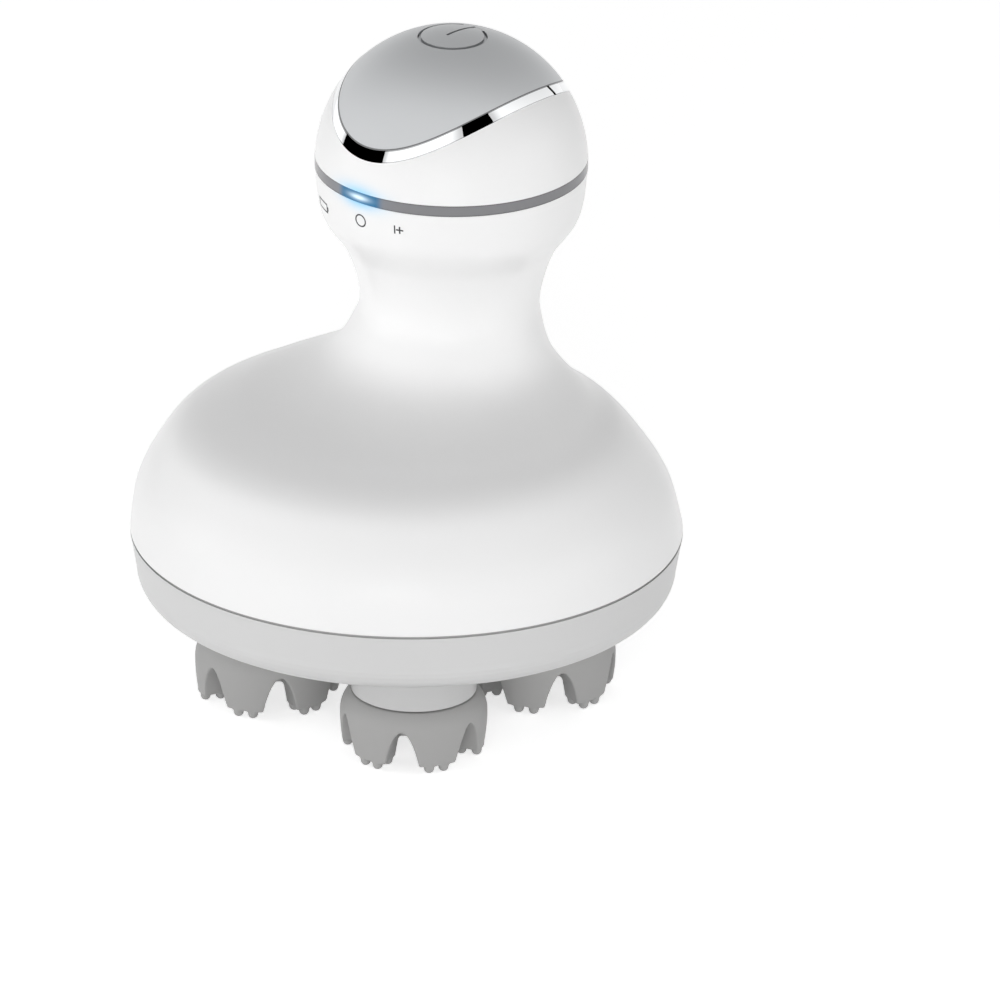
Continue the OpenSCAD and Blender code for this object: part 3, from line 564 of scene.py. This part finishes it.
world = bpy.data.worlds.new("white_tent")
bpy.context.scene.world = world
world.use_nodes = True
tree = world.node_tree
looking = tree.nodes.new("ShaderNodeTexCoord").outputs["Generated"]
east, north, rise = parts_of(tree, looking)
azimuth = calc(tree, "ARCTAN2", east, calc(tree, "MULTIPLY", north, -1.0))
height = calc(tree, "ARCSINE", rise)
card = 0.0
for turn, half_turn, lift, half_lift, margin in CARDS:
    off_middle = calc(tree, "ABSOLUTE", calc(tree, "SUBTRACT", azimuth, math.radians(turn)))
    past_edge = calc(tree, "SUBTRACT", off_middle, math.radians(half_turn))
    across = calc(tree, "MAXIMUM", calc(tree, "LESS_THAN", past_edge, 0.0),
                  ramp(tree, past_edge, 0.0, math.radians(margin), MARGIN_SHADE, 0.0))
    up = calc(tree, "COMPARE", height, math.radians(lift), math.radians(half_lift))
    card = calc(tree, "MAXIMUM", card, calc(tree, "MULTIPLY", across, up))
print("cards:", len(CARDS))

# %% The tent
HORIZON, ZENITH, ZENITH_FROM = 1.42, 0.12, 0.75
DIM_SIDE, DIM_FROM = (-0.32, 0.56, 0.77), 0.3  # the tent's dim side is behind the object and above it
MIRRORED_BRIGHT, MIRRORED_DIM = 1.27, 0.7

tent = ramp(tree, rise, 0.0, ZENITH_FROM, HORIZON, ZENITH)
dim_side = tree.nodes.new("ShaderNodeVectorMath")
dim_side.operation = "DOT_PRODUCT"
wire(tree, dim_side.inputs[0], looking)
dim_side.inputs[1].default_value = DIM_SIDE
mirrored = ramp(tree, dim_side.outputs["Value"], DIM_FROM, 1.0, MIRRORED_BRIGHT, MIRRORED_DIM)
rays = tree.nodes.new("ShaderNodeLightPath").outputs
card = calc(tree, "MULTIPLY", card, rays["Is Singular Ray"])
mirrored = calc(tree, "MULTIPLY", mirrored, calc(tree, "SUBTRACT", 1.0, card))
strength = blend_numbers(tree, rays["Is Glossy Ray"], tent, mirrored)
seen = calc(tree, "MAXIMUM", rays["Is Camera Ray"], rays["Is Transmission Ray"])
strength = blend_numbers(tree, seen, strength, 1.0)
wire(tree, tree.nodes["Background"].inputs["Strength"], strength)
tree.nodes["Background"].inputs["Color"].default_value = (1, 1, 1, 1)
bpy.context.scene.view_settings.view_transform = "Standard"
print("tent from", HORIZON, "at the horizon to", ZENITH, "overhead")

# %% The lamps
LAMP_ELEVATION, LAMP_DISTANCE, LAMP_SIZE = 5, 0.9, 0.5


def soft_lamp(name, azimuth, power):
    """A round soft box that looks at the middle of the object."""
    data = bpy.data.lights.new(name, "AREA")
    data.shape, data.size, data.energy = "DISK", LAMP_SIZE, power
    lamp = as_object(name, data)
    direction = towards(math.radians(azimuth), math.radians(LAMP_ELEVATION))
    lamp.location = middle + direction * LAMP_DISTANCE
    lamp.rotation_mode = "QUATERNION"
    lamp.rotation_quaternion = direction.to_track_quat("Z", "Y")
    lamp.visible_glossy = False


soft_lamp("front_softbox", 38, 3.3)
soft_lamp("left_softbox", -50, 2.2)
soft_lamp("right_softbox", 118, 0.8)

# %% The floor
FLOOR_R, FLOOR_LIFT = 6, 0.65

bm = bmesh.new()
bmesh.ops.create_circle(bm, cap_ends=True, segments=128, radius=FLOOR_R / MM)
floor = as_object("floor", as_mesh(bm, "floor"))

pale = bpy.data.materials.new("pale_floor")
pale.use_nodes = True
tree = pale.node_tree
shader = tree.nodes["Principled BSDF"]
shader.inputs["Base Color"].default_value = (0.9, 0.9, 0.9, 1)
shader.inputs["Roughness"].default_value = 0.9
shader.inputs["Specular IOR Level"].default_value = 0
rays = tree.nodes.new("ShaderNodeLightPath").outputs
looked_at = calc(tree, "MAXIMUM", rays["Is Camera Ray"],
                 calc(tree, "MAXIMUM", rays["Is Glossy Ray"], rays["Is Transmission Ray"]))
shader.inputs["Emission Color"].default_value = (1, 1, 1, 1)
wire(tree, shader.inputs["Emission Strength"], calc(tree, "MULTIPLY", looked_at, FLOOR_LIFT))
clear = tree.nodes.new("ShaderNodeBsdfTransparent")
sides = tree.nodes.new("ShaderNodeMixShader")
wire(tree, sides.inputs[0], tree.nodes.new("ShaderNodeNewGeometry").outputs["Backfacing"])
wire(tree, sides.inputs[1], shader.outputs[0])
wire(tree, sides.inputs[2], clear.outputs[0])
wire(tree, tree.nodes["Material Output"].inputs["Surface"], sides.outputs[0])
floor.data.materials.append(pale)
print("floor", 2 * FLOOR_R, "m across, clear from below")

# %% [markdown]
# ## What the surfaces share
#
# No moulding or turned part is perfectly even. A tool leaves a fine grain, the flow of the plastic
# leaves faint clouds, and handling changes the gloss in patches. These effects are node groups, made
# once and used by every finish. They read the object's own coordinates, so that nothing swims when a
# part moves. Each group gives a colour, a roughness, a height or a mask, and the finish does the rest.

# %% An empty group, and where it reads its place
def new_group(name, inputs, outputs):
    """An empty group with named float inputs and outputs; a label that starts with Colour is a colour."""
    tree = bpy.data.node_groups.new(name, "ShaderNodeTree")
    for direction, labels in (("INPUT", inputs), ("OUTPUT", outputs)):
        for label in labels:
            kind = "NodeSocketColor" if label.startswith("Colour") else "NodeSocketFloat"
            tree.interface.new_socket(label, in_out=direction, socket_type=kind)
    return tree, tree.nodes.new("NodeGroupInput").outputs, tree.nodes.new("NodeGroupOutput").inputs


def place_in_mm(tree):
    """The place on the object, in millimetres."""
    node = tree.nodes.new("ShaderNodeVectorMath")
    node.operation = "SCALE"
    wire(tree, node.inputs[0], tree.nodes.new("ShaderNodeTexCoord").outputs["Object"])
    node.inputs["Scale"].default_value = 1 / MM
    return node.outputs[0]


# %% Noise and what it changes
def noise(tree, place, feature, detail=2.0):
    """Noise whose clouds are about `feature` mm wide, from 0 to 1."""
    node = tree.nodes.new("ShaderNodeTexNoise")
    wire(tree, node.inputs["Vector"], place)
    wire(tree, node.inputs["Scale"], calc(tree, "DIVIDE", 1.0, feature))
    node.inputs["Detail"].default_value = detail
    return node.outputs[0]


def times(tree, colour, factor):
    """A colour made lighter or darker."""
    node = tree.nodes.new("ShaderNodeVectorMath")
    node.operation = "SCALE"
    wire(tree, node.inputs[0], colour[:3] if isinstance(colour, tuple) else colour)
    wire(tree, node.inputs["Scale"], factor)
    return node.outputs[0]


def wander(tree, value, middle_value, amount):
    """Noise around a middle value, `amount` from lowest to highest."""
    return calc(tree, "MULTIPLY_ADD", calc(tree, "SUBTRACT", value, 0.5), amount, middle_value)


# %% The skin of a moulding
CLOUD_MM, PATCH_MM = 16.0, 6.0

moulded, given, result = new_group("moulded_skin", ("Colour", "Clouds", "Roughness", "Patches", "Grain"),
                                   ("Colour", "Roughness", "Height"))
place = place_in_mm(moulded)
clouds = wander(moulded, noise(moulded, place, CLOUD_MM), 1.0, given["Clouds"])
wire(moulded, result["Colour"], times(moulded, given["Colour"], clouds))
wire(moulded, result["Roughness"],
     wander(moulded, noise(moulded, place, PATCH_MM, 4.0), given["Roughness"], given["Patches"]))
wire(moulded, result["Height"], noise(moulded, place, given["Grain"], 3.0))
print("moulded skin: clouds of", CLOUD_MM, "mm, patches of", PATCH_MM, "mm")

# %% The marks on turned metal
MARK_MM, MARK_STRETCH = 0.12, 20
MARK_SHADE, MARK_ROUGHNESS = 0.25, 0.2

turned, given, result = new_group("turned_metal", ("Colour", "Roughness"),
                                  ("Colour", "Roughness", "Height"))
lines = turned.nodes.new("ShaderNodeCombineXYZ")
for socket, value, stretch in zip(lines.inputs, parts_of(turned, place_in_mm(turned)),
                                  (1 / MARK_STRETCH, 1 / MARK_STRETCH, 1.0)):
    wire(turned, socket, calc(turned, "MULTIPLY", value, stretch))
cut_marks = noise(turned, lines.outputs[0], MARK_MM, 3.0)
wire(turned, result["Colour"], times(turned, given["Colour"], wander(turned, cut_marks, 1.0, MARK_SHADE)))
wire(turned, result["Roughness"], wander(turned, cut_marks, given["Roughness"], MARK_ROUGHNESS))
wire(turned, result["Height"], cut_marks)
print("turned metal: marks", MARK_MM, "mm high")

# %% The glow of the indicator lamp
LAMP_X = -0.4
HALO_HALF, CORE_HALF = (4.6, 1.95), (2.1, 0.5)
BLUE_FULL, BLUE_END = 3.6, 5.6

glow, given, result = new_group("lamp_glow", (), ("Halo", "Blue", "Core"))
x, y, z = parts_of(glow, place_in_mm(glow))
along = calc(glow, "SUBTRACT", x, LAMP_X)
over = calc(glow, "SUBTRACT", z, KNOB.z)
front = calc(glow, "LESS_THAN", y, LEAN - KNOB_R / 2)


def spot(half_length, half_height):
    """A soft elliptical patch of light round the lamp, 1 in its middle."""
    u = calc(glow, "POWER", calc(glow, "ABSOLUTE", calc(glow, "DIVIDE", along, half_length)), 2.0)
    v = calc(glow, "POWER", calc(glow, "ABSOLUTE", calc(glow, "DIVIDE", over, half_height)), 2.0)
    fade = calc(glow, "EXPONENT", calc(glow, "MULTIPLY", calc(glow, "ADD", u, v), -1.0))
    return calc(glow, "MULTIPLY", fade, front)


blue = ramp(glow, calc(glow, "ABSOLUTE", along), BLUE_FULL, BLUE_END, 1, 0)
wire(glow, result["Halo"], spot(*HALO_HALF))
wire(glow, result["Blue"], calc(glow, "MULTIPLY", front, blue))
wire(glow, result["Core"], spot(*CORE_HALF))
print("glow round x", LAMP_X, "z", round(KNOB.z, 1))

# %% A line along an arch, and what lies below the knob's surface
# Both groups give masks for painted shade: lines along the cap's and band's edges, and the cap's sunk
# parts.
edge, given, result = new_group("round_edge_line", ("Height", "Radius", "Width"), ("Line",))
_, y, z = parts_of(edge, place_in_mm(edge))
arch_top = calc(edge, "ADD", given["Height"], KNOB.z)
aside = calc(edge, "SUBTRACT", y, LEAN + EDGE_Y)
above = calc(edge, "SUBTRACT", z, calc(edge, "SUBTRACT", arch_top, given["Radius"]))
squares = [calc(edge, "MULTIPLY", part, part) for part in (aside, above)]
reach = calc(edge, "SQRT", calc(edge, "ADD", *squares))
wire(edge, result["Line"], calc(edge, "COMPARE", reach, given["Radius"], given["Width"]))

sunk, given, result = new_group("below_the_knob", ("Depth",), ("Sunk",))
x, y, z = parts_of(sunk, place_in_mm(sunk))
aside = calc(sunk, "SUBTRACT", y, LEAN)
above = calc(sunk, "SUBTRACT", z, KNOB.z)
squares = [calc(sunk, "MULTIPLY", part, part) for part in (x, aside, above)]
reach = calc(sunk, "SQRT", calc(sunk, "ADD", squares[0], calc(sunk, "ADD", *squares[1:])))
wire(sunk, result["Sunk"], calc(sunk, "LESS_THAN", reach, calc(sunk, "SUBTRACT", KNOB_R, given["Depth"])))
print("shared effects:", [group.name for group in (moulded, turned, glow, edge, sunk)])

# %% [markdown]
# ## The finishes
#
# Each material of the real object has its own short cell or row here. The white housing is a glossy
# ABS, the cap is lacquered like satin metal, the band is plated, the heads are matt silicone, and
# the parts inside are what such parts are: acetal gears, ground steel, sintered bronze, rubber. The
# base colours are the imported model's own, save the silicone's, which is set in its cell. A finish
# adds what the surface does to them, and some finishes also have painted light or shade in their colour.

# %% Build a finish
COAT_ROUGHNESS = 0.08

colours = {row["slot"]: row["base_color"][:3] + [1] for row in frame["record"]["materials"]}
finishes = {}
print("base colours:", len(colours))


def use(tree, group, **inputs):
    """Places a shared effect in a material."""
    node = tree.nodes.new("ShaderNodeGroup")
    node.node_tree = group
    for label, value in inputs.items():
        wire(tree, node.inputs[label], value)
    return node.outputs


def finish(slot, effect, bump, metallic=0.0, coat=0.0, **inputs):
    """A material whose colour, roughness and relief come from one shared effect."""
    material = bpy.data.materials.new(slot)
    material.use_nodes = True
    tree = material.node_tree
    shader = tree.nodes["Principled BSDF"]
    surface = use(tree, effect, Colour=colours[slot], **inputs)
    wire(tree, shader.inputs["Base Color"], surface["Colour"])
    wire(tree, shader.inputs["Roughness"], surface["Roughness"])
    relief = tree.nodes.new("ShaderNodeBump")
    relief.inputs["Distance"].default_value = bump * MM
    wire(tree, relief.inputs["Height"], surface["Height"])
    wire(tree, shader.inputs["Normal"], relief.outputs[0])
    shader.inputs["Metallic"].default_value = metallic
    shader.inputs["Coat Weight"].default_value = coat
    shader.inputs["Coat Roughness"].default_value = COAT_ROUGHNESS
    finishes[slot] = material
    return tree, shader, surface["Colour"]


# %% Kinds of surface, light and shade
def plastic(slot, roughness, grain=0.5, bump=0.002, clouds=0.03, patches=0.06, **more):
    """A moulded, sprayed or plated surface."""
    return finish(slot, moulded, bump, Clouds=clouds, Roughness=roughness, Patches=patches,
                  Grain=grain, **more)


def metal(slot, roughness, bump=0.002):
    """A turned or ground surface."""
    return finish(slot, turned, bump, metallic=1.0, Roughness=roughness)


def shine(tree, shader, colour):
    """Lets a surface give off light of this colour."""
    wire(tree, shader.inputs["Emission Color"], colour)
    shader.inputs["Emission Strength"].default_value = 1.0


def shaded(tree, mask, factor):
    """1 where the mask is 0, and the factor where it is 1."""
    return blend_numbers(tree, mask, 1.0, factor)


# %% White housing, with the lamp's halo painted on
LAMP_BLUE, PAINTED_HALO_BLUE = (0.08, 0.48, 0.95, 1), (0.22, 0.64, 0.95, 1)
PAINTED_HALO_SHARE, PAINTED_HALO_GLOW = 1.05, 0.12

tree, shader, base_colour = plastic("white_shell", 0.3, grain=0.8, bump=0.001, clouds=0.012, coat=0.25)
# Painted light: the lamp's halo is painted into the shell's colour, and the shell glows faintly blue
# there.
halo = calc(tree, "MULTIPLY", use(tree, glow)["Halo"], PAINTED_HALO_SHARE)
wire(tree, shader.inputs["Base Color"], blend_colours(tree, halo, base_colour, PAINTED_HALO_BLUE))
shine(tree, shader, times(tree, LAMP_BLUE, calc(tree, "MULTIPLY", halo, PAINTED_HALO_GLOW)))
print("white shell:", len(tree.nodes), "nodes")

# %% Base cover, with painted shade in its depth and a painted shadow in the parting groove
FLOOR_Z, PAINTED_DEPTH_SHADE = 20.4, 0.8
WALL_SHADE, PAINTED_GROOVE_SHADOW = 0.96, 0.5
GROOVE_LOW, GROOVE_HIGH = PARTING - 0.5, PARTING - 0.3

tree, shader, base_colour = plastic("pale_grey_shell", 0.38, grain=0.4, clouds=0.015)
z = parts_of(tree, place_in_mm(tree))["Z"]
# Painted shade darkens the bosses below the cover's floor, and a painted shadow fills the parting groove.
shade = calc(tree, "MULTIPLY", ramp(tree, z, FLOOR_Z - 1, FLOOR_Z, PAINTED_DEPTH_SHADE, 1.0),
             ramp(tree, z, GROOVE_LOW, GROOVE_HIGH, WALL_SHADE, PAINTED_GROOVE_SHADOW))
wire(tree, shader.inputs["Base Color"], times(tree, base_colour, shade))
print("pale grey shell: groove shaded above z", round(GROOVE_LOW, 1))

# %% Dark ring, with painted shade at its edges, lit blue in front of the lamp
RIM_W, PAINTED_RIM_SHADE = 0.17, 0.6
RING_LIT, RING_LIGHT, CORE_WHITE = (0.015, 0.13, 0.27, 1), 0.13, (0.9, 1.0, 1.0, 1)

tree, shader, base_colour = plastic("smoke_ring", 0.22, grain=0.8, bump=0.0005)
z = parts_of(tree, place_in_mm(tree))["Z"]
off_middle = calc(tree, "ABSOLUTE", calc(tree, "SUBTRACT", z, KNOB.z))
# Painted shade: the ring's top and bottom edges are darker, where it meets the white parts above and
# below.
rim = calc(tree, "GREATER_THAN", off_middle, RING_T / 2 - RIM_W)
dark = times(tree, base_colour, shaded(tree, rim, PAINTED_RIM_SHADE))
light = use(tree, glow)
wire(tree, shader.inputs["Base Color"], blend_colours(tree, light["Blue"], dark, RING_LIT))
lit = times(tree, LAMP_BLUE, calc(tree, "MULTIPLY", light["Halo"], RING_LIGHT))
shine(tree, shader, blend_colours(tree, light["Core"], lit, CORE_WHITE))
print("smoke ring:", len(tree.nodes), "nodes")

# %% Silver cap, with painted shade at its edge and in its sunk parts
CAP_LINE_W, PAINTED_CAP_LINE_SHADE = 0.14, 0.3
SUNK_DEPTH, PAINTED_SUNK_SHADE = 0.1, 0.95

tree, shader, base_colour = plastic("silver_cap", 0.36, grain=0.12, bump=0.0015, metallic=0.75)
# Painted shade: a dark line along the cap's edge stands for the shade in the gap to the band.
line = use(tree, edge, Height=CAP_EDGE_H, Radius=CAP_EDGE_R, Width=CAP_LINE_W)["Line"]
# Painted shade also darkens whatever lies below the knob's surface: engraved lines and gaps.
shade = calc(tree, "MINIMUM", shaded(tree, line, PAINTED_CAP_LINE_SHADE),
             shaded(tree, use(tree, sunk, Depth=SUNK_DEPTH)["Sunk"], PAINTED_SUNK_SHADE))
wire(tree, shader.inputs["Base Color"], times(tree, base_colour, shade))
print("silver cap: edge line within", CAP_LINE_W, "mm of the arch")

# %% Plated band: a mirror between two painted dark lines
BAND_LINE_W, PAINTED_BAND_LINE_SHADE = 0.09, 0.45
SEAM_W, PAINTED_SEAM_SHADE = 0.12, 0.55

tree, shader, base_colour = plastic("chrome_trim", 0.002, bump=0.0, clouds=0.01, patches=0.003,
                                    metallic=1.0)
# Painted shade: a dark line where the band meets the cap, and a lighter one along its lapped seam.
line = use(tree, edge, Height=CAP_EDGE_H, Radius=CAP_EDGE_R, Width=BAND_LINE_W)["Line"]
seam = use(tree, edge, Height=lap_h, Radius=lap_r, Width=SEAM_W)["Line"]
shade = calc(tree, "MULTIPLY", shaded(tree, line, PAINTED_BAND_LINE_SHADE), shaded(tree, seam, PAINTED_SEAM_SHADE))
wire(tree, shader.inputs["Base Color"], times(tree, base_colour, shade))
print("chrome trim: lines of", BAND_LINE_W, "and", SEAM_W, "mm")

# %% Silicone heads
colours["silicone"] = [0.375, 0.373, 0.37, 1]
plastic("silicone", 0.58, grain=0.25, bump=0.004, clouds=0.06, patches=0.1)
print("outside finishes:", list(finishes))

# %% Plain finishes inside
MOULDED_INSIDE = {"seal_rubber": (0.7, 0.3), "gear_resin": (0.42, 0.6), "black_resin": (0.5, 0.4),
                  "frame_resin": (0.5, 0.5), "cell_wrap": (0.25, 2.0)}
METAL_INSIDE = {"bronze": 0.4, "ground_steel": 0.22, "motor_can": 0.35, "brass_contact": 0.28,
                "screw_steel": 0.32}

for slot, (roughness, grain) in MOULDED_INSIDE.items():
    plastic(slot, roughness, grain=grain, bump=0.003)
for slot, roughness in METAL_INSIDE.items():
    metal(slot, roughness)
print("inside finishes:", len(MOULDED_INSIDE) + len(METAL_INSIDE))

# %% Control board and its lamp
TRACK_SCALE, TRACK_W, TRACK_GREEN = 0.5, 0.06, (0.06, 0.3, 0.12, 1)
LAMP_LIGHT = (0.2, 0.5, 1.0, 1)

tree, shader, base_colour = plastic("circuit_board", 0.35, grain=0.3)
tracks = tree.nodes.new("ShaderNodeTexBrick")
wire(tree, tracks.inputs["Vector"], place_in_mm(tree))
tracks.inputs["Scale"].default_value = TRACK_SCALE
tracks.inputs["Mortar Size"].default_value = TRACK_W
field = calc(tree, "SUBTRACT", 1.0, tracks.outputs["Fac"])
wire(tree, shader.inputs["Base Color"], blend_colours(tree, field, TRACK_GREEN, base_colour))

tree, shader, _ = plastic("blue_lamp", 0.15, bump=0.0)
shine(tree, shader, LAMP_LIGHT)
print("finishes:", len(finishes))

# %% Put each finish on its parts
def dress(thing, slot):
    """Gives a part the finish of its slot, and nothing else."""
    thing.data.materials.clear()
    thing.data.materials.append(finishes[slot])


slots = {row["node"]: row["material_slot"] for row in frame["record"]["subparts"]}
new_pieces = [housing, band, signs] + soft_heads
for name, node in frame["nodes"].items():
    dress(node, slots[name])
for piece in new_pieces:
    dress(piece, piece["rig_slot"])
print("dressed:", len(slots), "packed nodes and", len(new_pieces), "new pieces")
